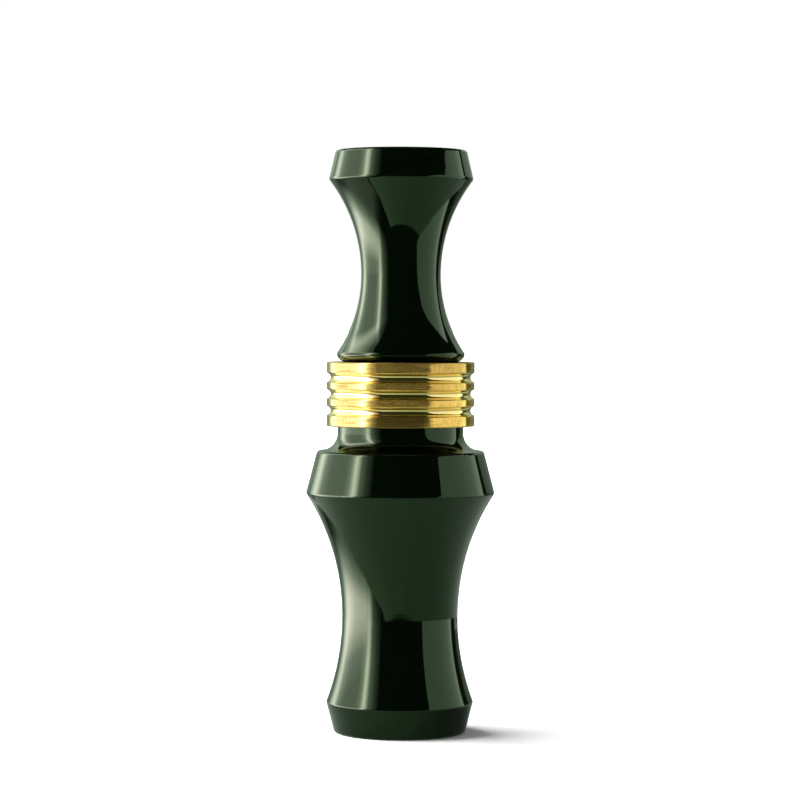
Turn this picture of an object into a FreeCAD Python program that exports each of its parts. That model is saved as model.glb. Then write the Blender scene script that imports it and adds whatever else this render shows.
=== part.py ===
"""A duck call: a turned barrel with a grooved brass band, and an insert that carries the tone
board, two reeds, a cork wedge and two O-rings.

Lengths are in millimetres. The assembled call stands on its mouthpiece rim, which is at Z = 0, with
Z running up the middle of both bores. The reeds face -Y. Each piece is drawn round its own origin
and put in its place by its body's Placement.
"""

import FreeCAD
import Part
import math
import operator
import os
import Sketcher
import types

OUTPUT_FOLDER = "parts"
SHEET = "Sizes"
ORIGIN = -1
HORIZONTAL_AXIS = -1
VERTICAL_AXIS = -2
WHOLE_EDGE = 0
FIRST_END = 1
LAST_END = 2
CENTRE = 3

# The driving dimensions, piece by piece. A height is measured from the piece's own origin.
SIZES = (
    # Barrel: its origin is at the mouthpiece rim.
    ("barrel_length", 75.5),
    ("foot_radius", 13.37),
    ("foot_ridge_radius", 15.02),
    ("foot_ridge_height", 6.2),
    ("waist_radius", 11.8),
    ("waist_height", 23.7),
    ("flare_radius", 19.22),
    ("flare_height", 48.8),
    ("shoulder_radius", 16.97),
    ("shoulder_height", 57.4),
    ("neck_radius", 12.8),
    ("neck_cove", 3.6),
    ("tenon_radius", 11.99),
    ("bore_radius", 7.94),
    ("throat_radius", 6.35),
    ("throat_top", 14.2),
    ("dish_radius", 10.9),
    ("dish_depth", 3.6),
    ("bore_lead_in", 0.6),
    # Brass band: its origin is at its lower end.
    ("band_height", 13.1),
    ("band_radius", 15.08),
    ("band_bore_radius", 12.0),
    ("groove_spacing", 3.36),
    ("groove_count", 3),
    ("groove_cutter_radius", 0.9),
    ("groove_cutter_stand_off", 0.08),
    # Insert: its origin is at the face that seats on the barrel's end.
    ("insert_length", 42.9),
    ("seat_radius", 11.45),
    ("lip_radius", 13.05),
    ("lip_height", 1.7),
    ("insert_waist_radius", 8.08),
    ("insert_waist_height", 17.7),
    ("bell_radius", 14.68),
    ("bell_height", 37.0),
    ("rim_radius", 13.3),
    ("exhaust_mouth_radius", 10.4),
    ("exhaust_radius", 4.76),
    ("exhaust_flare_start", 32.8),
    ("socket_radius", 5.95),
    ("socket_depth", 14.2),
    # Tone board: its origin is in the middle of the shoulder between spigot and rod.
    ("spigot_radius", 5.93),
    ("spigot_length", 13.6),
    ("rod_radius", 7.86),
    ("board_length", 56.0),
    ("stub_length", 18.0),
    ("board_offset", 0.8),
    ("board_fall", 1.1),
    ("blade_half_width", 5.9),
    ("blade_cove", 1.2),
    ("tip_round", 2.2),
    ("tip_underside", 4.4),
    ("taper_start", 30.0),
    ("channel_radius", 3.4),
    ("channel_bend", 31.5),
    ("channel_rise_radius", 72.0),
    ("channel_rise", 4.5),
    ("slot_depth", 9.0),
    ("slot_base_half_width", 5.1),
    ("slot_mouth_half_width", 4.5),
    ("ring_groove_radius", 6.4),
    ("ring_groove_width", 2.3),
    ("rear_ring_drop", 2.9),
    ("front_ring_drop", 7.1),
    # O-rings, squeezed between groove and bore: the origin is in the middle of the ring.
    ("ring_inner_radius", 6.42),
    ("ring_outer_radius", 7.92),
    ("ring_height", 1.87),
    # Reeds and wedge: their origin is the tone board's.
    ("reed_thickness", 0.25),
    ("film_gap", 0.02),
    ("reed_half_width", 5.0),
    ("reed_end_gap", 0.1),
    ("lower_reed_reach", 55.0),
    ("lower_reed_clip", 1.6),
    ("upper_reed_reach", 53.8),
    ("upper_reed_clip", 2.3),
    ("wedge_base_half_width", 5.0),
    ("wedge_top_half_width", 4.6),
    ("wedge_crown", 6.3),
    ("wedge_length", 9.4),
    ("wedge_end_gap", 0.15),
    ("wedge_bevel", 1.1),
    # Edge roundings.
    ("soft_edge", 0.6),
    ("rim_edge", 0.5),
    ("exhaust_rim_edge", 0.65),
    ("ridge_edge", 0.7),
    ("band_edge", 0.3),
    ("band_inner_edge", 0.15),
    ("fine_edge", 0.25),
    ("ring_edge", 0.55),
)


SIGNS = {
    "+": operator.add,
    "-": operator.sub,
    "*": operator.mul,
    "/": operator.truediv,
}


class Measure:
    """A number, together with the formula in the sheet's names that it comes from."""

    def __init__(self, value, formula):
        self.value = value
        self.formula = formula

    def combined(self, sign, other):
        """This measure and another one, or a plain number, joined by a sign."""
        value = SIGNS[sign](self.value, number_in(other))
        return Measure(value, f"({self.formula} {sign} {formula_of(other)})")

    def __add__(self, other):
        return self.combined("+", other)

    def __sub__(self, other):
        return self.combined("-", other)

    def __mul__(self, other):
        return self.combined("*", other)

    def __truediv__(self, other):
        return self.combined("/", other)

    def __neg__(self):
        return Measure(-self.value, f"(0 - {self.formula})")

    def root(self):
        """The square root of this measure."""
        return Measure(math.sqrt(self.value), f"sqrt({self.formula})")


def number_in(measure):
    """What a measure, or a plain number, comes to."""
    return measure.value if isinstance(measure, Measure) else measure


def formula_of(measure):
    """A measure's formula; a plain number is its own."""
    return measure.formula if isinstance(measure, Measure) else str(measure)


size = types.SimpleNamespace(
    **{name: Measure(value, f"{SHEET}.{name}") for name, value in SIZES}
)


def fill_sheet(doc):
    """Puts every driving dimension in the sheet, with its name beside it as its alias."""
    sheet = doc.addObject("Spreadsheet::Sheet", SHEET)
    for row, (name, value) in enumerate(SIZES, start=1):
        sheet.set(f"A{row}", name)
        sheet.set(f"B{row}", str(value))
        sheet.setAlias(f"B{row}", name)
    doc.recompute()
    return sheet


def bind(thing, target, measure):
    """Makes one property or constraint of an object follow a measure's formula."""
    thing.setExpression(target, formula_of(measure))


def new_body(doc, name, height=0):
    """A body for one piece, standing at its height in the assembled call."""
    body = doc.addObject("PartDesign::Body", name)
    body.Label = name
    if number_in(height) != 0:
        bind(body, "Placement.Base.z", height)
    return body


def new_sketch(body, name, role, offset=0):
    """A sketch on one of the body's own planes, or parallel to it at an offset."""
    sketch = body.newObject("Sketcher::SketchObject", name)
    plane = next(part for part in body.Origin.OriginFeatures if part.Role == role)
    sketch.AttachmentSupport = [(plane, "")]
    sketch.MapMode = "FlatFace"
    if number_in(offset) != 0:
        bind(sketch, "AttachmentOffset.Base.z", offset)
    return sketch


def fix(sketch, geometry, position, direction, measure):
    """Dimensions one point of a sketch from the origin, along one direction."""
    if number_in(measure) == 0:
        axis = VERTICAL_AXIS if direction == "DistanceX" else HORIZONTAL_AXIS
        sketch.addConstraint(Sketcher.Constraint("PointOnObject", geometry, position, axis))
        return
    distance = number_in(measure)
    number = sketch.addConstraint(
        Sketcher.Constraint(direction, ORIGIN, FIRST_END, geometry, position, distance)
    )
    bind(sketch, f"Constraints[{number}]", measure)


def centre_between(start, end, across=None, level=None):
    """Centre of the arc from start to end, from the one coordinate of it that is known."""
    if level is not None:
        rise = (start.y - level) ** 2 - (end.y - level) ** 2
        across = (start.x**2 - end.x**2 + rise) / (2 * (start.x - end.x))
        return FreeCAD.Vector(across, level, 0)
    reach = (start.x - across) ** 2 - (end.x - across) ** 2
    level = (start.y**2 - end.y**2 + reach) / (2 * (start.y - end.y))
    return FreeCAD.Vector(across, level, 0)


def add_arc(sketch, start, end, centre):
    """Adds the shorter arc from start to end. Returns its number and which of its ends is which."""
    first = math.atan2(start.y - centre.y, start.x - centre.x)
    last = math.atan2(end.y - centre.y, end.x - centre.x)
    turn = (last - first) % (2 * math.pi)
    circle = Part.Circle(centre, FreeCAD.Vector(0, 0, 1), start.distanceToPoint(centre))
    if turn <= math.pi:
        arc = Part.ArcOfCircle(circle, first, first + turn)
        return sketch.addGeometry(arc), FIRST_END, LAST_END
    arc = Part.ArcOfCircle(circle, last, last + 2 * math.pi - turn)
    return sketch.addGeometry(arc), LAST_END, FIRST_END


def draw_outline(sketch, corners, closed=True):
    """Draws an outline through corners, each given by two measures, and ties it to the sheet.

    A corner's third entry, where there is one, says that an arc leads to it from the corner before,
    and gives its centre's level, or how far across its centre is.
    """
    points = [
        FreeCAD.Vector(number_in(corner[0]), number_in(corner[1]), 0) for corner in corners
    ]
    edges = []
    for number in range(0 if closed else 1, len(corners)):
        start = points[number - 1]
        end = points[number]
        if len(corners[number]) == 2:
            line = sketch.addGeometry(Part.LineSegment(start, end))
            edges.append((line, FIRST_END, LAST_END))
            continue
        known, measure = corners[number][2]
        centre = centre_between(start, end, **{known: number_in(measure)})
        edges.append(add_arc(sketch, start, end, centre))
        direction = "DistanceY" if known == "level" else "DistanceX"
        fix(sketch, edges[-1][0], CENTRE, direction, measure)
    for number, (edge, _, end) in enumerate(edges):
        corner = corners[number if closed else number + 1]
        fix(sketch, edge, end, "DistanceX", corner[0])
        fix(sketch, edge, end, "DistanceY", corner[1])
        if closed or number + 1 < len(edges):
            following, start, _ = edges[(number + 1) % len(edges)]
            sketch.addConstraint(Sketcher.Constraint("Coincident", edge, end, following, start))
    if not closed:
        edge, start, _ = edges[0]
        fix(sketch, edge, start, "DistanceX", corners[0][0])
        fix(sketch, edge, start, "DistanceY", corners[0][1])


def draw_circle(sketch, across, level, radius):
    """Draws a circle and ties its centre and radius to the sheet."""
    middle = FreeCAD.Vector(number_in(across), number_in(level), 0)
    reach = number_in(radius)
    circle = sketch.addGeometry(Part.Circle(middle, FreeCAD.Vector(0, 0, 1), reach))
    fix(sketch, circle, CENTRE, "DistanceX", across)
    fix(sketch, circle, CENTRE, "DistanceY", level)
    number = sketch.addConstraint(Sketcher.Constraint("Radius", circle, reach))
    bind(sketch, f"Constraints[{number}]", radius)


def mirrored(corners):
    """The same outline on the other side of the vertical axis."""
    return [(-corner[0], *corner[1:]) for corner in corners]


def turn(body, sketch, name, kind="Revolution"):
    """Turns a sketch once round the piece's axis, to add material or, as a Groove, to cut it."""
    feature = body.newObject(f"PartDesign::{kind}", name)
    feature.Profile = sketch
    feature.ReferenceAxis = (sketch, ["V_Axis"])
    feature.Angle = 360
    body.Document.recompute()
    return feature


def pad(body, sketch, name, length):
    """Thickens a sketch along its normal."""
    feature = body.newObject("PartDesign::Pad", name)
    feature.Profile = sketch
    bind(feature, "Length", length)
    body.Document.recompute()
    return feature


def pocket_through(body, sketch, name):
    """Cuts a sketch right through the piece, to both sides."""
    feature = body.newObject("PartDesign::Pocket", name)
    feature.Profile = sketch
    feature.Type = "ThroughAll"
    feature.SideType = "Symmetric"
    body.Document.recompute()
    return feature


def rim_edges(shape, rims):
    """Names of the shape's round edges that have the given (radius, height) about its axis."""
    found = []
    for number, edge in enumerate(shape.Edges, start=1):
        if not isinstance(edge.Curve, Part.Circle):
            continue
        centre = edge.Curve.Center
        for radius, height in rims:
            same_size = abs(edge.Curve.Radius - radius) < 1e-4
            same_place = height is None or abs(centre.z - height) < 1e-4
            if same_size and same_place and math.hypot(centre.x, centre.y) < 1e-4:
                found.append(f"Edge{number}")
                break
    return found


def dress(body, name, rims, amount, kind="Fillet"):
    """Rounds or chamfers round edges, each given by its radius and its height.

    A height of None picks every edge of that radius.
    """
    base = body.Tip
    wanted = [(number_in(radius), number_in(height)) for radius, height in rims]
    feature = body.newObject(f"PartDesign::{kind}", name)
    feature.Base = (base, rim_edges(base.Shape, wanted))
    bind(feature, "Radius" if kind == "Fillet" else "Size", amount)
    body.Document.recompute()
    return feature


def make_barrel(doc):
    """Barrel: mouthpiece at the foot, waist, flare, lanyard groove, and a tenon for the band."""
    body = new_body(doc, "barrel")
    outline = new_sketch(body, "barrel_outline", "XZ_Plane")
    cove_top = size.shoulder_height + size.neck_cove
    band_seat = size.barrel_length - size.band_height
    draw_outline(
        outline,
        [
            (size.dish_radius, 0, ("across", 0)),
            (size.foot_radius, 0),
            (size.foot_ridge_radius, size.foot_ridge_height),
            (size.waist_radius, size.waist_height, ("level", size.waist_height)),
            (size.flare_radius, size.flare_height, ("level", size.waist_height)),
            (size.shoulder_radius, size.shoulder_height),
            (size.neck_radius + size.neck_cove, size.shoulder_height),
            (size.neck_radius, cove_top, ("level", cove_top)),
            (size.neck_radius, band_seat),
            (size.tenon_radius, band_seat),
            (size.tenon_radius, size.barrel_length),
            (size.bore_radius + size.bore_lead_in, size.barrel_length),
            (size.bore_radius, size.barrel_length - size.bore_lead_in),
            (size.bore_radius, size.throat_top + size.bore_radius - size.throat_radius),
            (size.throat_radius, size.throat_top),
            (size.throat_radius, size.dish_depth),
        ],
    )
    turn(body, outline, "barrel_turning")
    dress(body, "soft_foot", [(size.foot_radius, 0)], size.soft_edge)
    mouth_edges = [(size.dish_radius, 0), (size.throat_radius, size.dish_depth)]
    dress(body, "soft_mouth_edges", mouth_edges, size.rim_edge)
    ridges = [
        (size.foot_ridge_radius, size.foot_ridge_height),
        (size.flare_radius, size.flare_height),
        (size.shoulder_radius, size.shoulder_height),
    ]
    dress(body, "soft_ridges", ridges, size.ridge_edge)
    return body


def make_band(doc):
    """Brass band: a plain ring with round-bottomed grooves, spaced evenly about its middle."""
    body = new_body(doc, "brass_band", size.barrel_length - size.band_height)
    outline = new_sketch(body, "band_outline", "XZ_Plane")
    draw_outline(
        outline,
        [
            (size.band_bore_radius, 0),
            (size.band_radius, 0),
            (size.band_radius, size.band_height),
            (size.band_bore_radius, size.band_height),
        ],
    )
    turn(body, outline, "band_turning")
    cutter = new_sketch(body, "groove_cutter", "XZ_Plane")
    grooves_span = (size.groove_count - 1) * size.groove_spacing
    lowest_groove = (size.band_height - grooves_span) / 2
    cutter_centre = size.band_radius + size.groove_cutter_stand_off
    draw_circle(cutter, cutter_centre, lowest_groove, size.groove_cutter_radius)
    groove = turn(body, cutter, "groove", kind="Groove")
    pattern = body.newObject("PartDesign::LinearPattern", "grooves")
    pattern.Originals = [groove]
    pattern.Direction = (cutter, ["V_Axis"])
    bind(pattern, "Length", grooves_span)
    bind(pattern, "Occurrences", size.groove_count)
    body.Tip = pattern
    doc.recompute()
    dress(body, "soft_ribs", [(size.band_radius, None)], size.band_edge)
    bore_rims = [(size.band_bore_radius, None)]
    dress(body, "broken_bore", bore_rims, size.band_inner_edge, kind="Chamfer")
    return body


def make_insert(doc):
    """Insert: it seats on the barrel's end, holds the tone board and ends in the exhaust bell."""
    body = new_body(doc, "insert", size.barrel_length)
    outline = new_sketch(body, "insert_outline", "XZ_Plane")
    waist_height = size.insert_waist_height
    draw_outline(
        outline,
        [
            (size.socket_radius, 0),
            (size.seat_radius, 0),
            (size.lip_radius, size.lip_height, ("level", size.lip_height)),
            (size.insert_waist_radius, waist_height, ("level", waist_height)),
            (size.bell_radius, size.bell_height, ("level", waist_height)),
            (size.rim_radius, size.insert_length),
            (size.exhaust_mouth_radius, size.insert_length),
            (size.exhaust_radius, size.exhaust_flare_start, ("level", size.exhaust_flare_start)),
            (size.exhaust_radius, size.socket_depth),
            (size.socket_radius, size.socket_depth),
        ],
    )
    turn(body, outline, "insert_turning")
    rims = [
        (size.rim_radius, size.insert_length),
        (size.exhaust_mouth_radius, size.insert_length),
    ]
    dress(body, "soft_exhaust_rims", rims, size.exhaust_rim_edge)
    ridges = [(size.lip_radius, size.lip_height), (size.bell_radius, size.bell_height)]
    dress(body, "soft_ridges_of_insert", ridges, size.ridge_edge)
    return body


def mill_reed_face(body):
    """Mills away the reed side of the rod, leaving a face that falls away towards the tip."""
    sketch = new_sketch(body, "reed_face_outline", "YZ_Plane")
    clear = -(size.rod_radius + 1)
    stub_end = -size.stub_length
    tip_level = size.board_fall - size.board_offset
    past_tip = -(size.board_length + 1)
    draw_outline(
        sketch,
        [
            (clear, stub_end),
            (-size.board_offset, stub_end),
            (tip_level, -size.board_length, ("level", stub_end)),
            (tip_level, past_tip),
            (clear, past_tip),
        ],
    )
    return pocket_through(body, sketch, "reed_face")


def mill_underside(body):
    """Thins the blade towards its tip."""
    sketch = new_sketch(body, "underside_outline", "YZ_Plane")
    past_tip = -(size.board_length + 1)
    draw_outline(
        sketch,
        [
            (size.tip_underside, past_tip),
            (size.rod_radius + 1, past_tip),
            (size.rod_radius + 1, -size.taper_start),
            (size.rod_radius, -size.taper_start),
        ],
    )
    return pocket_through(body, sketch, "underside_taper")


def mill_sides(body):
    """Mills the blade to the width of the reeds, with a cove at the stub and a rounded tip."""
    sketch = new_sketch(body, "sides_outline", "XZ_Plane")
    past_tip = -(size.board_length + 1)
    tip = -size.board_length
    round_start = size.tip_round - size.board_length
    cove_start = -(size.stub_length + size.blade_cove)
    side = [
        (size.blade_half_width, cove_start),
        (size.blade_half_width, round_start),
        (size.blade_half_width - size.tip_round, tip, ("level", round_start)),
        (size.blade_half_width - size.tip_round, past_tip),
        (size.rod_radius + 1, past_tip),
        (size.rod_radius + 1, -size.stub_length),
        (size.blade_half_width + size.blade_cove, -size.stub_length),
    ]
    side[0] = (*side[0], ("level", cove_start))
    draw_outline(sketch, side)
    draw_outline(sketch, mirrored(side))
    return pocket_through(body, sketch, "blade_sides")


def mill_wedge_slot(body):
    """Cuts the dovetail slot that holds the reeds' rear ends and the wedge."""
    sketch = new_sketch(body, "slot_outline", "XY_Plane", -size.stub_length)
    mouth = -(size.rod_radius + 1)
    draw_outline(
        sketch,
        [
            (-size.slot_base_half_width, -size.board_offset),
            (-size.slot_mouth_half_width, mouth),
            (size.slot_mouth_half_width, mouth),
            (size.slot_base_half_width, -size.board_offset),
        ],
    )
    feature = body.newObject("PartDesign::Pocket", "wedge_slot")
    feature.Profile = sketch
    feature.Reversed = True
    bind(feature, "Length", size.slot_depth)
    body.Document.recompute()
    return feature


def bore_channel(body):
    """Bores the exhaust hole and, in one sweep, the tone channel that climbs out near the tip."""
    section = new_sketch(body, "channel_section", "XY_Plane", size.spigot_length + 1)
    draw_circle(section, 0, 0, size.channel_radius)
    path = new_sketch(body, "channel_path", "YZ_Plane")
    bend = -size.channel_bend
    drop_from_centre = size.channel_rise_radius - size.channel_rise
    run_squared = (
        size.channel_rise_radius * size.channel_rise_radius - drop_from_centre * drop_from_centre
    )
    draw_outline(
        path,
        [
            (0, size.spigot_length + 1),
            (0, bend),
            (-size.channel_rise, bend - run_squared.root(), ("level", bend)),
        ],
        closed=False,
    )
    feature = body.newObject("PartDesign::SubtractivePipe", "channel")
    feature.Profile = section
    feature.Spine = (path, ["Edge1", "Edge2"])
    body.Document.recompute()
    return feature


def make_tone_board(doc):
    """Tone board: a spigot for the insert's socket, a stub with O-ring grooves, and the blade."""
    body = new_body(doc, "tone_board", size.barrel_length)
    outline = new_sketch(body, "rod_outline", "XZ_Plane")
    draw_outline(
        outline,
        [
            (0, size.spigot_length),
            (0, -size.board_length),
            (size.rod_radius, -size.board_length),
            (size.rod_radius, 0),
            (size.spigot_radius, 0),
            (size.spigot_radius, size.spigot_length),
        ],
    )
    turn(body, outline, "rod_turning")
    grooves = new_sketch(body, "ring_groove_outline", "XZ_Plane")
    for drop in (size.rear_ring_drop, size.front_ring_drop):
        draw_outline(
            grooves,
            [
                (size.ring_groove_radius, -drop - size.ring_groove_width / 2),
                (size.rod_radius + 1, -drop - size.ring_groove_width / 2),
                (size.rod_radius + 1, size.ring_groove_width / 2 - drop),
                (size.ring_groove_radius, size.ring_groove_width / 2 - drop),
            ],
        )
    turn(body, grooves, "ring_grooves", kind="Groove")
    spigot_end = [(size.spigot_radius, size.spigot_length)]
    dress(body, "spigot_lead_in", spigot_end, size.rim_edge, kind="Chamfer")
    dress(body, "broken_rod_edges", [(size.rod_radius, None)], size.fine_edge)
    for cut in (mill_reed_face, mill_underside, mill_sides, mill_wedge_slot, bore_channel):
        before = body.Shape.Volume
        feature = cut(body)
        if not body.Shape.Volume < before:
            raise RuntimeError(f"{feature.Name} cut nothing")
    return body


def make_reed(doc, name, lift, reach, clip):
    """One reed: a flat strip with clipped corners, lying parallel to the reed face."""
    body = new_body(doc, name, size.barrel_length)
    sketch = new_sketch(body, f"{name}_outline", "XZ_Plane", lift)
    rear = size.slot_depth - size.stub_length - size.reed_end_gap
    shoulder = clip - reach
    draw_outline(
        sketch,
        [
            (-size.reed_half_width, rear),
            (-size.reed_half_width, shoulder),
            (clip - size.reed_half_width, -reach),
            (size.reed_half_width - clip, -reach),
            (size.reed_half_width, shoulder),
            (size.reed_half_width, rear),
        ],
    )
    pad(body, sketch, f"{name}_strip", size.reed_thickness)
    return body


def make_wedge(doc):
    """Cork wedge: it fills the dovetail slot over the reeds' rear ends."""
    body = new_body(doc, "cork_wedge", size.barrel_length)
    rear = size.slot_depth - size.stub_length - size.wedge_end_gap
    front = rear - size.wedge_length
    base = -(size.board_offset + (size.reed_thickness + size.film_gap) * 2)
    crown = -size.wedge_crown
    outline = new_sketch(body, "wedge_outline", "XY_Plane", front)
    draw_outline(
        outline,
        [
            (-size.wedge_base_half_width, base),
            (-size.wedge_top_half_width, crown),
            (size.wedge_top_half_width, crown),
            (size.wedge_base_half_width, base),
        ],
    )
    block = pad(body, outline, "wedge_block", size.wedge_length)
    names = [
        f"Edge{number}"
        for number, edge in enumerate(block.Shape.Edges, start=1)
        if abs(edge.CenterOfMass.z - number_in(front)) < 1e-4
        and abs(edge.CenterOfMass.y - number_in(crown)) < 1e-4
    ]
    bevel = body.newObject("PartDesign::Chamfer", "wedge_front_bevel")
    bevel.Base = (block, names)
    bind(bevel, "Size", size.wedge_bevel)
    doc.recompute()
    return body


def make_ring(doc, name, drop):
    """One O-ring, drawn as it sits: squeezed flat between its groove and the barrel's bore."""
    body = new_body(doc, name, size.barrel_length - drop)
    outline = new_sketch(body, f"{name}_outline", "XZ_Plane")
    draw_outline(
        outline,
        [
            (size.ring_inner_radius, -size.ring_height / 2),
            (size.ring_outer_radius, -size.ring_height / 2),
            (size.ring_outer_radius, size.ring_height / 2),
            (size.ring_inner_radius, size.ring_height / 2),
        ],
    )
    turn(body, outline, f"{name}_turning")
    rims = [(size.ring_inner_radius, None), (size.ring_outer_radius, None)]
    dress(body, f"{name}_rounding", rims, size.ring_edge)
    return body


def check(doc, bodies):
    """Stops if any object failed to build or any piece isn't a sound solid."""
    for item in doc.Objects:
        if "Invalid" in item.State or "Error" in item.State:
            raise RuntimeError(f"{item.Name} failed to build: {item.State}")
    for body in bodies:
        shape = body.Shape
        if shape.isNull() or not shape.isValid() or not shape.Solids:
            raise RuntimeError(f"{body.Label} isn't a sound solid")


def main():
    """Builds the call and writes one STEP file for each piece."""
    doc = FreeCAD.newDocument("duck_call")
    fill_sheet(doc)
    face_lift = size.board_offset
    second_lift = size.board_offset + size.reed_thickness + size.film_gap
    bodies = [
        make_barrel(doc),
        make_band(doc),
        make_insert(doc),
        make_tone_board(doc),
        make_reed(doc, "lower_reed", face_lift, size.lower_reed_reach, size.lower_reed_clip),
        make_reed(doc, "upper_reed", second_lift, size.upper_reed_reach, size.upper_reed_clip),
        make_wedge(doc),
        make_ring(doc, "rear_o_ring", size.rear_ring_drop),
        make_ring(doc, "front_o_ring", size.front_ring_drop),
    ]
    doc.recompute()
    check(doc, bodies)
    os.makedirs(OUTPUT_FOLDER, exist_ok=True)
    for body in bodies:
        body.Shape.exportStep(os.path.join(OUTPUT_FOLDER, f"{body.Label}.step"))
        box = body.Shape.BoundBox
        print(f"{body.Label}: {body.Shape.Volume:.1f} mm3, Z {box.ZMin:.2f} to {box.ZMax:.2f}")


main()
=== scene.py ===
"""Looks for the duck call: materials, the soft and bending pieces, studio light and camera.

Metres, in the part's own frame: the call stands on its mouthpiece rim at Z = 0 and the reeds
face -Y.
"""

import math

import bmesh
import bpy
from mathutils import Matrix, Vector, noise

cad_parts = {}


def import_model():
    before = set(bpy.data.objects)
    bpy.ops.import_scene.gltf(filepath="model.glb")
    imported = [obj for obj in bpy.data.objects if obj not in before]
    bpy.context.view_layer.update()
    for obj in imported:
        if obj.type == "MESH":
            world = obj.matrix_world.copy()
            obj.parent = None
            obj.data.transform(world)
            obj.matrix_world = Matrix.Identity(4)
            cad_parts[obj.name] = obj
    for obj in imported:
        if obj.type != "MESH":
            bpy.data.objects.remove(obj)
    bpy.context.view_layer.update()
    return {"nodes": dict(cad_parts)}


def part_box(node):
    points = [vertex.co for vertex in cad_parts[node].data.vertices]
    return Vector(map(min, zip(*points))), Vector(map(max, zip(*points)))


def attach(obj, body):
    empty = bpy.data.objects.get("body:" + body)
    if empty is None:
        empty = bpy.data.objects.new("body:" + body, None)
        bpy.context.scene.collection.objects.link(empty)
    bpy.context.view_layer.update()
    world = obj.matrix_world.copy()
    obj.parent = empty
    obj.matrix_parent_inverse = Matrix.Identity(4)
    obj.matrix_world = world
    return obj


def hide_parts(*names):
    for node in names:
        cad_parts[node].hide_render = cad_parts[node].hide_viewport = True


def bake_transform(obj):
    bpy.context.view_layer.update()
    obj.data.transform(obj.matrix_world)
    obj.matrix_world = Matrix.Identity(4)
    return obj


MM = 0.001

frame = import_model()


# ---------------------------------------------------------------- node helpers

# The Mix node's sockets for colours: its share, first and second input, and its result.
MIX_INPUTS = (0, 6, 7)
MIX_OUTPUT = 2


def put(tree, socket, value):
    """Links a socket to another, or gives it a plain value."""
    if isinstance(value, bpy.types.NodeSocket):
        tree.links.new(value, socket)
    else:
        socket.default_value = value


def put_all(tree, node, **inputs):
    """Sets a node's inputs by name. A space in a name is written _."""
    for name, value in inputs.items():
        put(tree, node.inputs[name.replace("_", " ")], value)


def add(tree, kind, **inputs):
    """Adds a node with the given inputs."""
    made = tree.nodes.new(kind)
    put_all(tree, made, **inputs)
    return made


def new_material(name):
    """A material with an untouched Principled shader. Returns it, its tree and the shader."""
    material = bpy.data.materials.new(name)
    material.use_nodes = True
    tree = material.node_tree
    return material, tree, tree.nodes["Principled BSDF"]


def empty_tree(owner):
    """The node tree of a material or world, with no nodes in it."""
    owner.use_nodes = True
    owner.node_tree.nodes.clear()
    return owner.node_tree


def end_tree(tree, kind, shader):
    """Adds the output node of the given kind and links the shader to it."""
    tree.links.new(shader.outputs[0], tree.nodes.new(kind).inputs["Surface"])


def maths(tree, operation, *values):
    """One step of arithmetic on numbers. Returns its result."""
    made = tree.nodes.new("ShaderNodeMath")
    made.operation = operation
    for socket, value in zip(made.inputs, values):
        put(tree, socket, value)
    return made.outputs[0]


def vector_maths(tree, operation, *values):
    """One step of arithmetic on vectors or colours. Returns its result."""
    made = tree.nodes.new("ShaderNodeVectorMath")
    made.operation = operation
    for socket, value in zip(made.inputs, values):
        put(tree, socket, value)
    return made.outputs["Value" if operation == "DISTANCE" else "Vector"]


def between(tree, share, first, second):
    """A number that goes from the first value to the second as a share goes from 0 to 1."""
    return maths(tree, "MULTIPLY_ADD", share, second - first, first)


def remap(tree, value, span, target=(0.0, 1.0)):
    """Maps a value from one range to another, held at its ends."""
    made = add(tree, "ShaderNodeMapRange", Value=value)
    put_all(tree, made, From_Min=span[0], From_Max=span[1])
    put_all(tree, made, To_Min=target[0], To_Max=target[1])
    return made.outputs["Result"]


def mix_colour(tree, share, first, second):
    """Goes from the first colour to the second as a share goes from 0 to 1."""
    made = tree.nodes.new("ShaderNodeMix")
    made.data_type = "RGBA"
    for index, value in zip(MIX_INPUTS, (share, first, second)):
        put(tree, made.inputs[index], value)
    return made.outputs[MIX_OUTPUT]


def place_lit(tree):
    """The point being lit, in the piece's own coordinates, in metres."""
    return tree.nodes.new("ShaderNodeTexCoord").outputs["Object"]


def stretched(tree, across, along):
    """The point being lit, with X and Y scaled by one number and Z by another."""
    scale = (across, across, along)
    return add(tree, "ShaderNodeMapping", Vector=place_lit(tree), Scale=scale).outputs["Vector"]


def place_axes(tree):
    """The X, Y and Z of the point being lit, in metres."""
    return add(tree, "ShaderNodeSeparateXYZ", Vector=place_lit(tree)).outputs


def noise_value(tree, vector, scale, detail=2.0, roughness=0.5):
    """A noise texture's value, from 0 to 1."""
    made = add(
        tree,
        "ShaderNodeTexNoise",
        Vector=vector,
        Scale=scale,
        Detail=detail,
        Roughness=roughness,
    )
    return made.outputs["Fac"]


def bump(tree, height, distance, normal=None):
    """A bump from a height of 0 to 1 that stands for so many metres."""
    made = add(tree, "ShaderNodeBump", Height=height, Distance=distance, Strength=1.0)
    if normal is not None:
        put(tree, made.inputs["Normal"], normal)
    return made.outputs["Normal"]


def colour(red, green, blue):
    """A colour in linear light."""
    return (red, green, blue, 1.0)


def grey(level):
    """A grey in linear light."""
    return colour(level, level, level)


WHITE = grey(1.0)
BLACK = grey(0.0)


# ---------------------------------------------------------------- materials

# The refractive indices of acrylic and of polyester film.
ACRYLIC_IOR = 1.49
FILM_IOR = 1.57

# How much a noise is squeezed along Z, so that it runs round a turned piece. Under 1 it is
# drawn out along Z instead.
POLISHING_RINGS = 26.0
LATHE_RINGS = 200.0
LATHE_GRAIN = 0.3

# How much a noise is squeezed in X and Y, so that it runs along a flat piece.
SANDING_STROKES = 14.0
FILM_SCUFFS = 9.0

# For each material: its colours and how far a noise mixes them in, the range of its roughness,
# and the heights in metres that its bumps stand for.

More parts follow.
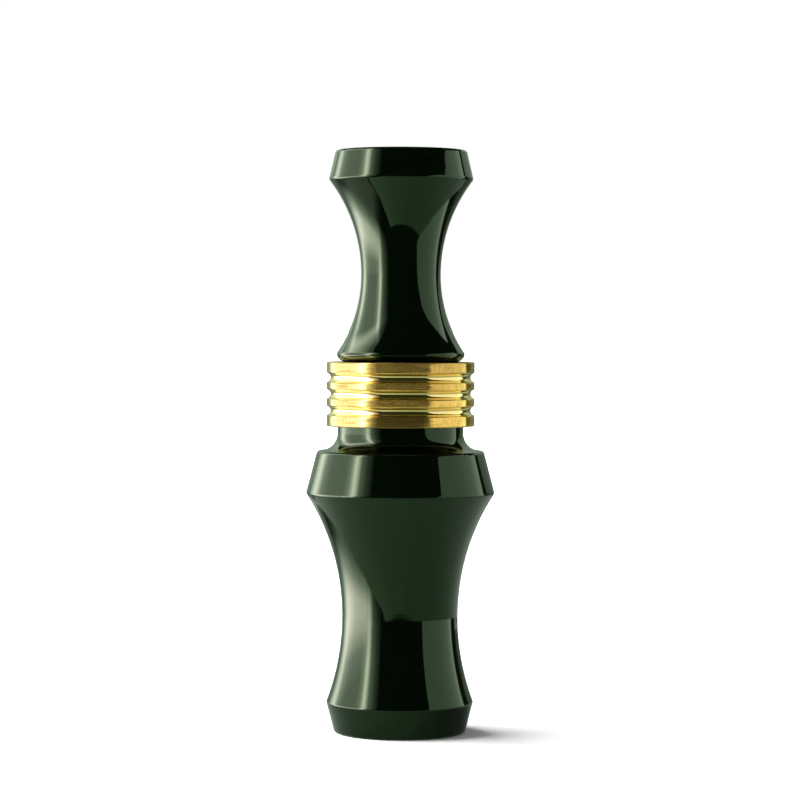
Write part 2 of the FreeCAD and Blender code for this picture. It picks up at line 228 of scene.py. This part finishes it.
POLYMER_DEEP = colour(0.0002, 0.0009, 0.0003)
POLYMER_PALE = colour(0.0005, 0.0018, 0.0007)
POLYMER_GLOSS = colour(0.60, 1.0, 0.54)
POLYMER_HAZE = (0.035, 0.065)
SCUFF_ROUGHNESS = 0.05
BUFFING_HEIGHT = 1.6e-6
SCUFF_HEIGHT = 0.5e-6

SANDED_DEEP = colour(0.010, 0.044, 0.019)
SANDED_PALE = colour(0.018, 0.068, 0.030)
SANDED_STROKE = colour(0.05, 0.11, 0.065)
STROKE_SHARE = 0.5
STROKE_HEIGHT = 6e-6
SATIN = (0.24, 0.46)

GOLD = colour(0.76, 0.505, 0.115)
DULL_GOLD = colour(0.60, 0.385, 0.080)
SPECK_BROWN = colour(0.34, 0.21, 0.06)
GROOVE_GOLD = colour(0.80, 0.63, 0.25)
DULL_SHARE = 0.8
SPECK_SHARE = 0.75
BRASS_GLOSS = (0.09, 0.2)
DENT_HEIGHT = 2.0e-6

# The band's ribs: their radius, and how far under it a groove ends and a rib is whole. The ribs
# are a little less metallic than the grooves, and their turned rings lean the surface more.
BAND_RADIUS = 15.08 * MM
GROOVE_EDGE = 0.25 * MM
RIB_EDGE = 0.05 * MM
GROOVE_METALLIC = 1.0
RIB_METALLIC = 0.87
NOISE_MIDDLE = 0.5
RING_LEAN = 1.5
GROOVE_LEAN_SHARE = 0.07

# Painted shade on the band's left, where the key light's reflection falls, dimming and cooling it:
# its two tints, and the X from which to which each gives way.
PAINTED_SHADE_DEEP = colour(0.42, 0.51, 0.72)
PAINTED_SHADE_LIGHT = colour(0.635, 0.84, 0.95)
PAINTED_SHADE_DEEP_END = (-7.8 * MM, -6.5 * MM)
PAINTED_SHADE_LIGHT_END = (-6.5 * MM, -4.4 * MM)

# Painted shade on the band that darkens its reflections, alike in front and behind: by the middle
# of its lower edge, and on its right towards the top.
MIDDLE_SIDES = (4.5 * MM, 6.5 * MM)
MIDDLE_HEIGHTS = (64.6 * MM, 65.4 * MM)
MIDDLE_DARKNESS = 0.6
RIGHT_SIDES = (5.0 * MM, 7.0 * MM)
RIGHT_HEIGHTS = (68.0 * MM, 73.0 * MM)
RIGHT_DARKNESS = 0.28

FILM_CLEAR = colour(0.80, 0.84, 0.82)
FILM_MILKY = colour(0.90, 0.93, 0.91)
FILM_GLOSS = colour(0.74, 1.0, 0.80)
FILM_FROST = (0.26, 0.46)
FILM_SEE_THROUGH = (0.42, 0.52)
FILM_SCUFF_HEIGHT = 0.8e-6

CORK_CELLS = 1050.0
CORK_WOBBLE = 0.45 * MM
CORK_DARKEST = colour(0.21, 0.115, 0.05)
CORK_PALEST = colour(0.52, 0.35, 0.18)
CORK_BETWEEN = ((0.28, colour(0.36, 0.215, 0.10)), (0.62, colour(0.45, 0.285, 0.14)))
CORK_PORE = colour(0.10, 0.05, 0.022)
CORK_SEAM = colour(0.12, 0.06, 0.028)
PORE_SHARE = 0.7
PORE_DEPTH = 0.8
SEAM_SHARE = 0.65
SEAM_COLOUR_WIDTH = 0.09
SEAM_RELIEF_WIDTH = 0.25
CORK_RELIEF = 6e-5
CORK_MATT = (0.78, 0.95)

RUBBER_BLACK = grey(0.008)
RUBBER_DUST = colour(0.035, 0.034, 0.032)
RUBBER_GLOSS = colour(0.72, 1.0, 0.78)
RUBBER_SMEAR = (0.24, 0.5)
DUST_HEIGHT = 1.2e-5


def polished_polymer():
    """Very dark green acrylic, buffed to a gloss after turning."""
    material, tree, shader = new_material("polished_polymer")
    place = place_lit(tree)
    rings = stretched(tree, 1.0, POLISHING_RINGS)
    depth = noise_value(tree, place, scale=55.0, detail=3.0)
    haze = noise_value(tree, place, scale=240.0, detail=4.0, roughness=0.6)
    scuffs = noise_value(tree, rings, scale=420.0)
    buffing = noise_value(tree, rings, scale=70.0)
    rough = remap(tree, haze, (0.35, 0.75), POLYMER_HAZE)
    scuffed = remap(tree, scuffs, (0.62, 0.8))
    put_all(
        tree,
        shader,
        Base_Color=mix_colour(tree, depth, POLYMER_DEEP, POLYMER_PALE),
        Roughness=maths(tree, "MULTIPLY_ADD", scuffed, SCUFF_ROUGHNESS, rough),
        IOR=ACRYLIC_IOR,
        Specular_Tint=POLYMER_GLOSS,
        Normal=bump(tree, scuffs, SCUFF_HEIGHT, bump(tree, buffing, BUFFING_HEIGHT)),
    )
    return material


def sanded_polymer():
    """The same polymer on the tone board: milled, then sanded along its length to a satin face."""
    material, tree, shader = new_material("sanded_polymer")
    along = stretched(tree, SANDING_STROKES, 1.0)
    strokes = noise_value(tree, along, scale=260.0, detail=4.0, roughness=0.62)
    cloud = noise_value(tree, place_lit(tree), scale=130.0, detail=3.0)
    base = mix_colour(tree, cloud, SANDED_DEEP, SANDED_PALE)
    pale = remap(tree, strokes, (0.55, 0.8), (0.0, STROKE_SHARE))
    put_all(
        tree,
        shader,
        Base_Color=mix_colour(tree, pale, base, SANDED_STROKE),
        Roughness=remap(tree, strokes, (0.3, 0.75), SATIN),
        IOR=ACRYLIC_IOR,
        Normal=bump(tree, strokes, STROKE_HEIGHT),
    )
    return material


def rib_share(tree, axes):
    """Where the band is a rib: 1 on the ribs, 0 in the grooves."""
    squares = maths(tree, "MULTIPLY", axes["X"], axes["X"])
    radius = maths(tree, "SQRT", maths(tree, "MULTIPLY_ADD", axes["Y"], axes["Y"], squares))
    return remap(tree, radius, (BAND_RADIUS - GROOVE_EDGE, BAND_RADIUS - RIB_EDGE))


def left_painted_shade(tree, axes):
    """Painted shade on the band's left, where the key light's reflection falls: bluish, fading out
    towards the middle.
    """
    lighter = remap(tree, axes["X"], PAINTED_SHADE_DEEP_END)
    tint = mix_colour(tree, lighter, PAINTED_SHADE_DEEP, PAINTED_SHADE_LIGHT)
    return mix_colour(tree, remap(tree, axes["X"], PAINTED_SHADE_LIGHT_END), tint, WHITE)


def band_painted_shade(tree, axes):
    """Painted shade on the band: dark by the middle of the lower edge, and on the right by the top.
    """
    middle = remap(tree, maths(tree, "ABSOLUTE", axes["X"]), MIDDLE_SIDES, (1.0, 0.0))
    low = remap(tree, axes["Z"], MIDDLE_HEIGHTS, (MIDDLE_DARKNESS, 0.0))
    right = remap(tree, axes["X"], RIGHT_SIDES)
    high = remap(tree, axes["Z"], RIGHT_HEIGHTS, (0.0, RIGHT_DARKNESS))
    dark = maths(tree, "MULTIPLY_ADD", right, high, maths(tree, "MULTIPLY", middle, low))
    return mix_colour(tree, dark, WHITE, BLACK)


def ringed_normal(tree, rib):
    """The band's normal, leaned up and down by fine turned rings, less so in the grooves."""
    rings = noise_value(tree, stretched(tree, 1.0, LATHE_RINGS), scale=70.0, roughness=0.6)
    lean = maths(tree, "MULTIPLY", maths(tree, "SUBTRACT", rings, NOISE_MIDDLE), RING_LEAN)
    lean = maths(tree, "MULTIPLY", lean, between(tree, rib, GROOVE_LEAN_SHARE, 1.0))
    upward = add(tree, "ShaderNodeCombineXYZ", Z=lean).outputs["Vector"]
    facing = tree.nodes.new("ShaderNodeNewGeometry").outputs["Normal"]
    return vector_maths(tree, "NORMALIZE", vector_maths(tree, "ADD", facing, upward))


def turned_brass():
    """Brass off the lathe: fine rings round the ribs, polished grooves, and painted shade on its
    left, by the middle of its lower edge and high on its right.
    """
    material, tree, shader = new_material("turned_brass")
    axes = place_axes(tree)
    rib = rib_share(tree, axes)
    grain_place = stretched(tree, 1.0, LATHE_GRAIN)
    grain = noise_value(tree, grain_place, scale=2600.0, detail=3.0, roughness=0.7)
    mottle = noise_value(tree, place_lit(tree), scale=420.0, detail=4.0, roughness=0.65)
    dull = remap(tree, mottle, (0.42, 0.72), (0.0, DULL_SHARE))
    specks = remap(tree, grain, (0.50, 0.78), (0.0, SPECK_SHARE))
    specks = maths(tree, "MULTIPLY", specks, rib)
    base = mix_colour(tree, dull, GOLD, DULL_GOLD)
    base = mix_colour(tree, specks, base, SPECK_BROWN)
    # Painted shade: the band's left, where the key light's reflection falls, is darkened and turned
    # bluish.
    base = vector_maths(tree, "MULTIPLY", base, left_painted_shade(tree, axes))
    # Painted shade: the band is darkened by the middle of its lower edge and high on its right.
    base = vector_maths(tree, "MULTIPLY", base, band_painted_shade(tree, axes))
    put_all(
        tree,
        shader,
        Base_Color=mix_colour(tree, rib, GROOVE_GOLD, base),
        Metallic=between(tree, rib, GROOVE_METALLIC, RIB_METALLIC),
        Roughness=remap(tree, grain, (0.45, 0.85), BRASS_GLOSS),
        Normal=bump(tree, mottle, DENT_HEIGHT, ringed_normal(tree, rib)),
    )
    return material


def frosted_film():
    """Frosted polyester film: translucent, satin, with faint scuffs along its length."""
    material, tree, shader = new_material("frosted_film")
    along = stretched(tree, FILM_SCUFFS, 1.0)
    scuffs = noise_value(tree, along, scale=300.0, detail=4.0, roughness=0.6)
    cloud = noise_value(tree, place_lit(tree), scale=180.0)
    put_all(
        tree,
        shader,
        Base_Color=mix_colour(tree, cloud, FILM_CLEAR, FILM_MILKY),
        Roughness=remap(tree, scuffs, (0.3, 0.75), FILM_FROST),
        IOR=FILM_IOR,
        Transmission_Weight=remap(tree, cloud, (0.3, 0.7), FILM_SEE_THROUGH),
        Specular_Tint=FILM_GLOSS,
        Normal=bump(tree, scuffs, FILM_SCUFF_HEIGHT),
    )
    return material


def cork_cells(tree, place, feature):
    """Cells the size of cork granules, by one feature of the Voronoi texture."""
    made = tree.nodes.new("ShaderNodeTexVoronoi")
    made.feature = feature
    put_all(tree, made, Vector=place, Scale=CORK_CELLS)
    return made.outputs


def granule_colours(tree, place):
    """Tans and browns, one for each granule of the cork."""
    cells = cork_cells(tree, place, "F1")
    tone = add(tree, "ShaderNodeSeparateColor", Color=cells["Color"]).outputs["Red"]
    granules = add(tree, "ShaderNodeValToRGB", Fac=tone)
    stops = granules.color_ramp.elements
    stops[0].color = CORK_DARKEST
    stops[1].color = CORK_PALEST
    for position, shade in CORK_BETWEEN:
        stops.new(position).color = shade
    return granules.outputs["Color"]


def fine_cork():
    """Agglomerated cork: pressed granules in tans and browns, with dark seams and pits."""
    material, tree, shader = new_material("fine_cork")
    place = place_lit(tree)
    wobble = add(tree, "ShaderNodeTexNoise", Vector=place, Scale=900.0, Detail=2.0)
    reach = (CORK_WOBBLE, CORK_WOBBLE, CORK_WOBBLE)
    moved = vector_maths(tree, "MULTIPLY_ADD", wobble.outputs["Color"], reach, place)
    seams = cork_cells(tree, moved, "DISTANCE_TO_EDGE")["Distance"]
    pores = noise_value(tree, place, scale=3600.0, detail=3.0, roughness=0.6)
    pored = remap(tree, pores, (0.6, 0.75), (0.0, PORE_SHARE))
    base = mix_colour(tree, pored, granule_colours(tree, moved), CORK_PORE)
    seamed = remap(tree, seams, (0.0, SEAM_COLOUR_WIDTH), (1.0, 0.0))
    seamed = maths(tree, "MULTIPLY", seamed, SEAM_SHARE)
    pits = maths(tree, "MULTIPLY", remap(tree, pores, (0.58, 0.72)), PORE_DEPTH)
    relief = maths(tree, "SUBTRACT", remap(tree, seams, (0.0, SEAM_RELIEF_WIDTH)), pits)
    put_all(
        tree,
        shader,
        Base_Color=mix_colour(tree, seamed, base, CORK_SEAM),
        Roughness=remap(tree, pores, (0.3, 0.7), CORK_MATT),
        Normal=bump(tree, relief, CORK_RELIEF),
    )
    return material


def greased_rubber():
    """Black nitrile rubber with a trace of grease and dust."""
    material, tree, shader = new_material("greased_rubber")
    place = place_lit(tree)
    dust = noise_value(tree, place, scale=900.0, detail=4.0, roughness=0.7)
    smear = noise_value(tree, place, scale=160.0, detail=3.0)
    dusty = remap(tree, dust, (0.6, 0.8))
    put_all(
        tree,
        shader,
        Base_Color=mix_colour(tree, dusty, RUBBER_BLACK, RUBBER_DUST),
        Roughness=remap(tree, smear, (0.35, 0.65), RUBBER_SMEAR),
        Specular_Tint=RUBBER_GLOSS,
        Normal=bump(tree, dust, DUST_HEIGHT),
    )
    return material


# ---------------------------------------------------------------- pieces

REED_STEPS = 74
REED_CORNER = 0.04 * MM
REED_SHARP_ANGLE = 35.0
LOWER_REED_CLIP = 1.6 * MM
UPPER_REED_CLIP = 2.3 * MM

WELD_DISTANCE = 1e-6
FLAT_ANGLE = 0.02
WEDGE_ROUNDING = 0.45 * MM
WEDGE_FACE_SIZE = 0.16 * MM
CORK_GRAIN_SCALE = 900.0
CORK_GRAIN_DEPTH = 0.03 * MM
CORK_GRAIN_DIMENSION = 1.0
CORK_GRAIN_LACUNARITY = 2.0
CORK_GRAIN_OCTAVES = 3
CORK_PIT_SCALE = 1500.0
CORK_PIT_DEPTH = 0.16 * MM
CORK_PIT_LEVEL = 0.28
CORK_PIT_SHIFT = (3.1, 7.7, 1.3)


def dress(node_name, material):
    """Gives a CAD node its material."""
    data = frame["nodes"][node_name].data
    data.materials.clear()
    data.materials.append(material)
    for polygon in data.polygons:
        polygon.material_index = 0


def smooth(piece):
    """Shades every face of a piece smooth."""
    for polygon in piece.data.polygons:
        polygon.use_smooth = True


def finished_mesh(name, build, material):
    """A smooth object from a bmesh, in the scene."""
    data = bpy.data.meshes.new(name)
    build.to_mesh(data)
    build.free()
    data.materials.append(material)
    piece = bpy.data.objects.new(name, data)
    bpy.context.scene.collection.objects.link(piece)
    smooth(piece)
    return piece


def apply_modifiers(piece):
    """Makes the piece's modifiers part of its mesh."""
    bpy.context.view_layer.update()
    evaluated = piece.evaluated_get(bpy.context.evaluated_depsgraph_get())
    mesh = bpy.data.meshes.new_from_object(evaluated)
    piece.modifiers.clear()
    piece.data = mesh


def reed(name, clip, material):
    """One film reed with clipped corners, fine enough along its length to bend smoothly."""
    low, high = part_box(name)
    build = bmesh.new()
    half = (high.x - low.x) / 2
    steps = [low.z + (high.z - low.z) * step / REED_STEPS for step in range(REED_STEPS + 1)]
    rows = []
    for height in sorted(set(steps + [low.z + clip])):
        width = half - max(0.0, clip - (height - low.z))
        row = [
            (-width + REED_CORNER, low.y),
            (width - REED_CORNER, low.y),
            (width, low.y + REED_CORNER),
            (width, high.y - REED_CORNER),
            (width - REED_CORNER, high.y),
            (-width + REED_CORNER, high.y),
            (-width, high.y - REED_CORNER),
            (-width, low.y + REED_CORNER),
        ]
        rows.append([build.verts.new((x, y, height)) for x, y in row])
    for lower, upper in zip(rows, rows[1:]):
        for here in range(len(lower)):
            there = (here + 1) % len(lower)
            build.faces.new((lower[here], lower[there], upper[there], upper[here]))
    build.faces.new(list(reversed(rows[0])))
    build.faces.new(rows[-1])
    bmesh.ops.recalc_face_normals(build, faces=build.faces)
    piece = finished_mesh(f"{name}_film", build, material)
    piece.data.set_sharp_from_angle(angle=math.radians(REED_SHARP_ANGLE))
    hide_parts(name)
    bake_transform(piece)


def cork_pit(place):
    """How deep cork's skin is pitted at a place."""
    grain = noise.fractal(
        place * CORK_GRAIN_SCALE,
        CORK_GRAIN_DIMENSION,
        CORK_GRAIN_LACUNARITY,
        CORK_GRAIN_OCTAVES,
    )
    pit = noise.noise(place * CORK_PIT_SCALE + Vector(CORK_PIT_SHIFT))
    grained = CORK_GRAIN_DEPTH * max(0.0, grain)
    return grained + CORK_PIT_DEPTH * max(0.0, pit - CORK_PIT_LEVEL)


def cork_wedge(material):
    """The wedge: a dovetail block cut from cork, with worn edges and a pitted skin."""
    build = bmesh.new()
    build.from_mesh(frame["nodes"]["cork_wedge"].data)
    bmesh.ops.remove_doubles(build, verts=build.verts, dist=WELD_DISTANCE)
    bmesh.ops.dissolve_limit(
        build, angle_limit=FLAT_ANGLE, verts=build.verts, edges=build.edges
    )
    bmesh.ops.bevel(
        build,
        geom=list(build.edges),
        offset=WEDGE_ROUNDING,
        segments=3,
        profile=0.6,
        affect="EDGES",
        clamp_overlap=True,
    )
    piece = finished_mesh("cork_wedge_block", build, material)
    remesh = piece.modifiers.new("even_faces", "REMESH")
    remesh.mode = "VOXEL"
    remesh.voxel_size = WEDGE_FACE_SIZE
    apply_modifiers(piece)
    for vertex in piece.data.vertices:
        vertex.co -= vertex.normal * cork_pit(vertex.co)
    smooth(piece)
    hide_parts("cork_wedge")
    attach(piece, "wedge")


# ---------------------------------------------------------------- studio

# The key light. Each list gives a level, or a share of one, at places in metres. The level
# across the panel is scaled by the shares up its height. Then the bright rims at its top and its
# foot are added, each by its own share across. The top rim, the fall and the corner lie aslant,
# by the slopes.
KEY_X = -0.44
KEY_NEAR = -0.60
KEY_FAR = 0.68
KEY_LOW = -0.50
KEY_HIGH = 0.70
KEY_TOP_SLOPE = 0.175
KEY_CORNER_SLOPE = 0.6
KEY_PEAK = 13.0
KEY_ACROSS = (
    (-0.6, 0.0),
    (-0.43, 0.75),
    (-0.32, 2.4),
    (-0.255, 11.0),
    (-0.23, 13.0),
    (-0.2, 7.6),
    (-0.165, 4.0),
    (-0.1, 2.5),
    (0.1, 2.0),
    (0.22, 2.6),
    (0.3, 5.3),
    (0.35, 5.9),
    (0.5, 2.5),
    (0.68, 0.5),
)
KEY_RISE = ((-0.5, 0.0), (-0.19, 0.0), (-0.07, 0.43), (0.11, 1.0), (0.7, 1.0))
KEY_FALL = ((-0.7, 1.0), (0.36, 1.0), (0.5, 0.15), (0.83, 0.0))
KEY_CORNER = ((-0.9, 1.0), (0.44, 1.0), (0.61, 0.4), (1.12, 0.3))
KEY_TOP_RIM = ((-0.7, 0.0), (0.365, 0.0), (0.41, 4.3), (0.44, 5.6), (0.6, 1.0), (0.83, 0.0))
KEY_FOOT = (
    (-0.5, 0.75),
    (-0.22, 0.9),
    (-0.16, 1.5),
    (-0.12, 2.9),
    (-0.07, 7.0),
    (-0.02, 7.1),
    (0.05, 1.6),
    (0.12, 0.0),
    (0.7, 0.0),
)
KEY_TOP_SPAN = (
    (-0.6, 0.02),
    (-0.34, 0.14),
    (-0.3, 0.3),
    (-0.24, 0.95),
    (0.3, 0.95),
    (0.37, 0.38),
    (0.68, 0.03),
)
KEY_FOOT_SPAN = (
    (-0.6, 0.01),
    (-0.34, 0.03),
    (-0.28, 0.15),
    (-0.24, 0.3),
    (-0.14, 0.97),
    (0.2, 0.94),
    (0.27, 0.75),
    (0.36, 0.3),
    (0.5, 0.1),
    (0.68, 0.05),
)

# The key's tints, a dim and a bright one at its near end and at its far end, then the levels
# between which it turns from dim to bright, and the places between which from near to far.
KEY_NEAR_TINTS = (colour(1.10, 1.0, 1.02), colour(1.38, 1.0, 1.20))
KEY_FAR_TINTS = (colour(0.86, 1.0, 0.80), colour(1.08, 1.0, 0.90))
KEY_TINT_LEVELS = (2.0, 6.5)
KEY_TINT_PLACES = (-0.15, 0.35)

# The fill panel, with its outline in Y and Z. The table's glow reaches up to it.
FILL_X = 0.19
FILL_PEAK = 2.0
FILL_OUTLINE = (
    (-0.2, 0.0),
    (0.106, 0.0),
    (0.112, 0.2),
    (-0.07, 0.192),
    (-0.12, 0.176),
    (-0.15, 0.147),
    (-0.17, 0.12),
    (-0.19, 0.06),
)
FILL_LEVELS = ((-0.21, 1.18), (-0.05, 1.2), (0.05, 1.4), (0.08, 1.85), (0.115, 1.8))
FILL_TINTS = (colour(1.0, 1.0, 0.98), colour(0.88, 1.0, 0.84))
FILL_TINT_PLACES = (-0.05, 0.10)

# The back panel, with its outline in X and Z. It grows brighter to the left between the places.
BACK_Y = 0.60
BACK_OUTLINE = (
    (-0.42, -0.25),
    (0.52, -0.25),
    (0.52, 0.05),
    (0.58, 0.12),
    (0.70, 0.20),
    (0.76, 0.40),
    (-0.42, 0.38),
)
BACK_LEVELS = ((-0.25, 0.12), (0.0, 0.2), (0.15, 0.38), (0.38, 0.8))
BACK_LEFT_PLACES = (-0.32, -0.04)
BACK_LEFT_GAIN = 2.2
BACK_TINT = colour(0.78, 1.0, 0.74)

TOP_Z = 0.6
TOP_SIDES = (-0.14, 0.12)
TOP_ENDS = (-0.10, 0.18)
TOP_LEVEL = 0.4

# The table in reflections lies just under the floor that the camera sees. It glows with painted
# light, brighter on the left, and a painted shadow of the call's foot darkens it, by the distance
# from the shadow's centre.
TABLE_GLOW_Z = -0.0004
FLOOR_LEFT = -0.082
FLOOR_FRONT = -0.160
FLOOR_BACK = 0.22
FLOOR_LEVELS = ((-0.082, 0.98), (-0.03, 0.68), (0.03, 0.54), (0.19, 0.56))
FLOOR_TINT = colour(0.84, 1.0, 0.82)
FOOT_PAINTED_SHADOW_CENTRE = (0.016, -0.001, 0.0)
FOOT_PAINTED_SHADOW = ((0.0, 0.16), (0.012, 0.3), (0.021, 0.65), (0.032, 1.0))

FLOOR_REACH = 30.0
FLOOR_WHITE = grey(1.6)

# The sun, with its width in degrees and the direction it shines from.
SUN_STRENGTH = 6.8
SUN_WIDTH = 82.6
SUN_FROM = (-0.834, 0.233, 0.5)

WORLD_DIFFUSE = grey(0.175)
WORLD_GLOSSY = colour(0.026, 0.036, 0.018)

# The camera, with its lens and sensor in millimetres and its roll in degrees.
CAMERA_DISTANCE = 0.570
CAMERA_HEIGHT = 0.083
CAMERA_OFFSET = -0.00012
CAMERA_LENS = 126.0
CAMERA_SENSOR = 36.0
CAMERA_CLIP = (0.01, 100.0)
CAMERA_ROLL = 0.19
AIM_HEIGHT = 0.0677


def flat_piece(name, corners, material):
    """A flat stage piece with the given corners."""
    build = bmesh.new()
    build.faces.new([build.verts.new(corner) for corner in corners])
    piece = finished_mesh(name, build, material)
    return piece


def rectangle(sides, ends, height):
    """The corners of a level rectangle, from its two X and its two Y."""
    left, right = sides
    front, back = ends
    outline = ((left, front), (right, front), (right, back), (left, back))
    return [(x, y, height) for x, y in outline]


def glowing_panel(name, corners, light_of):
    """A flat light that reflections see, and the camera and diffuse rays don't.

    light_of takes the panel's node tree and returns the light's level and tint.
    """
    material = bpy.data.materials.new(f"{name}_light")
    tree = empty_tree(material)
    level, tint = light_of(tree)
    light = add(tree, "ShaderNodeEmission", Color=tint, Strength=level)
    end_tree(tree, "ShaderNodeOutputMaterial", light)
    panel = flat_piece(name, corners, material)
    panel.visible_camera = False
    panel.visible_diffuse = False
    panel.visible_shadow = False


def curve(tree, value, points, top=1.0):
    """A level that follows a value along straight lines between (place, level) points."""
    low = points[0][0]
    high = points[-1][0]
    ramp = add(tree, "ShaderNodeValToRGB", Fac=remap(tree, value, (low, high)))
    stops = ramp.color_ramp.elements
    stops.remove(stops[1])
    stops[0].position = 0.0
    for place, level in points:
        share = (place - low) / (high - low)
        stop = stops.new(share) if share > 0.0 else stops[0]
        stop.color = grey(level / top)
    return maths(tree, "MULTIPLY", ramp.outputs["Color"], top)


def key_light(tree):
    """The key panel's level, with its bright rims, and its tint."""
    axes = place_axes(tree)
    across = axes["Y"]
    height = axes["Z"]
    skew = maths(tree, "MULTIPLY_ADD", across, KEY_TOP_SLOPE, height)
    corner = maths(tree, "MULTIPLY_ADD", across, KEY_CORNER_SLOPE, height)
    level = curve(tree, across, KEY_ACROSS, KEY_PEAK)
    for value, points in ((height, KEY_RISE), (skew, KEY_FALL), (corner, KEY_CORNER)):
        level = maths(tree, "MULTIPLY", level, curve(tree, value, points))
    for value, points, span in (
        (skew, KEY_TOP_RIM, KEY_TOP_SPAN),
        (height, KEY_FOOT, KEY_FOOT_SPAN),
    ):
        rim = curve(tree, value, points, KEY_PEAK)
        level = maths(tree, "MULTIPLY_ADD", rim, curve(tree, across, span), level)
    bright = remap(tree, level, KEY_TINT_LEVELS)
    near = mix_colour(tree, bright, *KEY_NEAR_TINTS)
    far = mix_colour(tree, bright, *KEY_FAR_TINTS)
    return level, mix_colour(tree, remap(tree, across, KEY_TINT_PLACES), near, far)


def fill_light(tree):
    """The fill panel's level and tint, which both change from front to back."""
    across = place_axes(tree)["Y"]
    tint = mix_colour(tree, remap(tree, across, FILL_TINT_PLACES), *FILL_TINTS)
    return curve(tree, across, FILL_LEVELS, FILL_PEAK), tint


def back_light(tree):
    """The back panel's level and tint: brighter towards its top and its left."""
    axes = place_axes(tree)
    left = remap(tree, axes["X"], BACK_LEFT_PLACES, (BACK_LEFT_GAIN, 1.0))
    return maths(tree, "MULTIPLY", curve(tree, axes["Z"], BACK_LEVELS), left), BACK_TINT


def floor_light(tree):
    """The table's level and tint: painted light, brighter on the left, and a painted shadow round
    the call's foot.
    """
    away = vector_maths(tree, "DISTANCE", place_lit(tree), FOOT_PAINTED_SHADOW_CENTRE)
    level = curve(tree, place_axes(tree)["X"], FLOOR_LEVELS)
    return maths(tree, "MULTIPLY", level, curve(tree, away, FOOT_PAINTED_SHADOW)), FLOOR_TINT


def key_panel():
    """The key light on the left: a tall panel with bright rims, reaching below the table's edge."""
    corners = [
        (KEY_X, KEY_NEAR, KEY_LOW),
        (KEY_X, KEY_FAR, KEY_LOW),
        (KEY_X, KEY_FAR, KEY_HIGH),
        (KEY_X, KEY_NEAR, KEY_HIGH),
    ]
    glowing_panel("key_panel", corners, key_light)


def fill_panel():
    """A white reflector on the right, standing on the table."""
    corners = [(FILL_X, across, height) for across, height in FILL_OUTLINE]
    glowing_panel("fill_panel", corners, fill_light)


def back_panel():
    """The wall behind."""
    corners = [(across, BACK_Y, height) for across, height in BACK_OUTLINE]
    glowing_panel("back_panel", corners, back_light)


def top_panel():
    """A weak softbox overhead."""
    corners = rectangle(TOP_SIDES, TOP_ENDS, TOP_Z)
    glowing_panel("top_panel", corners, lambda tree: (TOP_LEVEL, WHITE))


def table_glow():
    """The white table as the polish shows it: a glowing sheet with painted light and a painted
    shadow round the call's foot.
    """
    corners = rectangle((FLOOR_LEFT, FILL_X), (FLOOR_FRONT, FLOOR_BACK), TABLE_GLOW_Z)
    glowing_panel("table_glow", corners, floor_light)


def pale_floor():
    """The floor that the camera sees, and reflections don't."""
    material = bpy.data.materials.new("pale_floor")
    tree = empty_tree(material)
    matt = add(tree, "ShaderNodeBsdfDiffuse", Color=FLOOR_WHITE)
    end_tree(tree, "ShaderNodeOutputMaterial", matt)
    reach = (-FLOOR_REACH, FLOOR_REACH)
    floor = flat_piece("pale_floor", rectangle(reach, reach, 0.0), material)
    floor.visible_glossy = False


def sun():
    """A broad light from the upper left that lights the floor and lays the soft shadow."""
    light = bpy.data.lights.new("broad_sun", "SUN")
    light.energy = SUN_STRENGTH
    light.angle = math.radians(SUN_WIDTH)
    holder = bpy.data.objects.new("broad_sun", light)
    holder.rotation_euler = Vector(SUN_FROM).to_track_quat("Z", "Y").to_euler()
    holder.visible_glossy = False
    bpy.context.scene.collection.objects.link(holder)


def world():
    """White to the camera, dim to diffuse rays, nearly dark in reflections."""
    made = bpy.data.worlds.new("studio")
    tree = empty_tree(made)
    rays = tree.nodes.new("ShaderNodeLightPath").outputs
    seen = mix_colour(tree, rays["Is Diffuse Ray"], WHITE, WORLD_DIFFUSE)
    seen = mix_colour(tree, rays["Is Glossy Ray"], seen, WORLD_GLOSSY)
    end_tree(tree, "ShaderNodeOutputWorld", add(tree, "ShaderNodeBackground", Color=seen))
    bpy.context.scene.world = made


def camera():
    """The camera, low and far in front, as a product photographer places it."""
    data = bpy.data.cameras.new("camera")
    data.lens = CAMERA_LENS
    data.sensor_width = CAMERA_SENSOR
    data.clip_start, data.clip_end = CAMERA_CLIP
    made = bpy.data.objects.new("camera", data)
    bpy.context.scene.collection.objects.link(made)
    made.location = (CAMERA_OFFSET, -CAMERA_DISTANCE, CAMERA_HEIGHT)
    aim = Vector((CAMERA_OFFSET, 0.0, AIM_HEIGHT)) - made.location
    made.rotation_euler = aim.to_track_quat("-Z", "Y").to_euler()
    made.rotation_euler.rotate_axis("Z", math.radians(CAMERA_ROLL))
    bpy.context.scene.camera = made


# ---------------------------------------------------------------- the scene

camera()
world()
sun()
pale_floor()
table_glow()
key_panel()
fill_panel()
back_panel()
top_panel()

polymer = polished_polymer()
dress("barrel", polymer)
dress("insert", polymer)
dress("brass_band", turned_brass())
dress("tone_board", sanded_polymer())
rubber = greased_rubber()
dress("rear_o_ring", rubber)
dress("front_o_ring", rubber)

film = frosted_film()
reed("lower_reed", LOWER_REED_CLIP, film)
reed("upper_reed", UPPER_REED_CLIP, film)
cork_wedge(fine_cork())

view = bpy.context.scene.view_settings
view.view_transform = "Standard"
view.look = "None"
